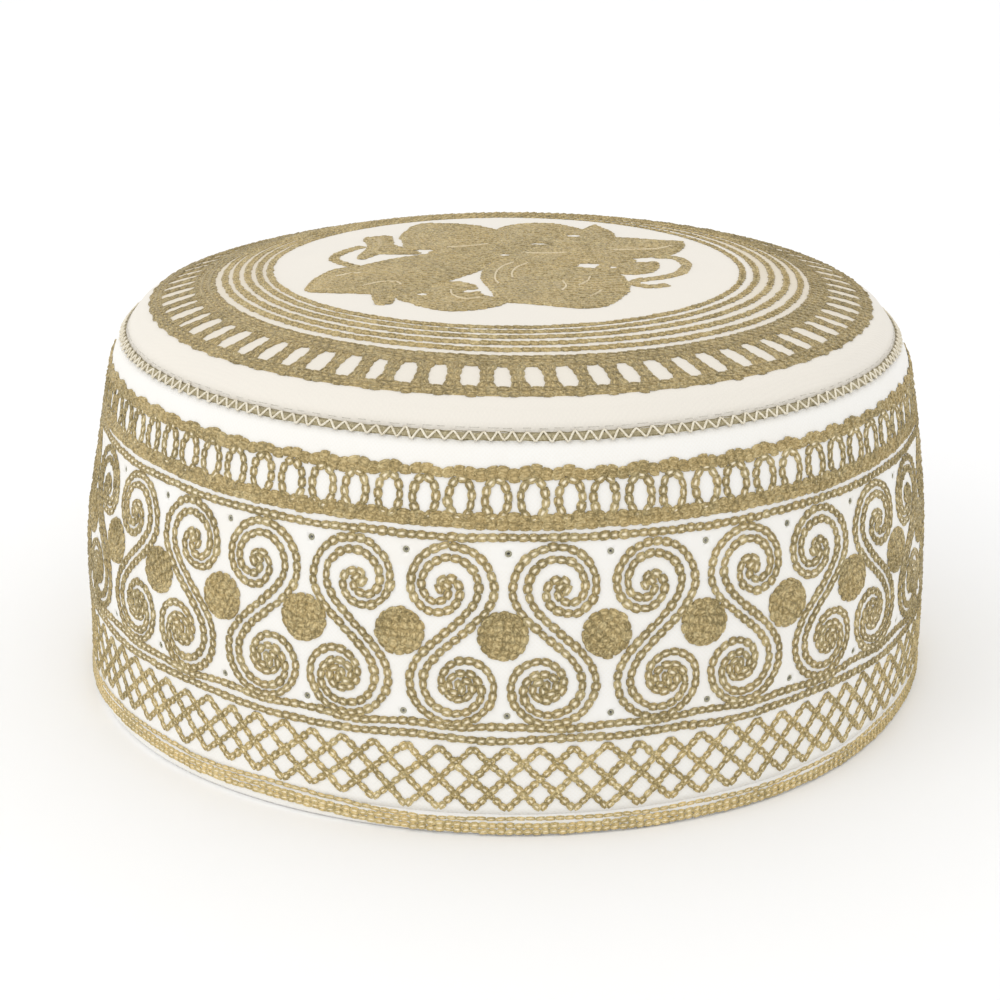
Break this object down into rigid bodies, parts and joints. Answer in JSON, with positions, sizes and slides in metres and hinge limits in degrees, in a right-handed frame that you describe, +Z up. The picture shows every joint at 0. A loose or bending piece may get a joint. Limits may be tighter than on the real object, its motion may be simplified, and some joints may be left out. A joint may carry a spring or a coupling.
{
  "type": "embroidered prayer cap",
  "caption": "Low round off-white cloth cap with a flat domed crown, tan chain-stitch embroidery, a seamed shoulder and an open underside for the head.",
  "frame": {"origin": "centre of the rim's underside, on the surface that the cap rests on", "axes": "+Z up through the crown's middle, front of the cap facing -Y"},
  "size_m": [0.1837, 0.1839, 0.0858],
  "materials": {
    "cloth": "matt off-white cotton cloth",
    "thread": "soft tan embroidery thread with a low sheen"
  },
  "bodies": {
    "root": {"crown_panel": "cloth", "crown_seam": "thread", "side_band": "cloth", "rim_hem": "cloth"}
  },
  "joints": []
}
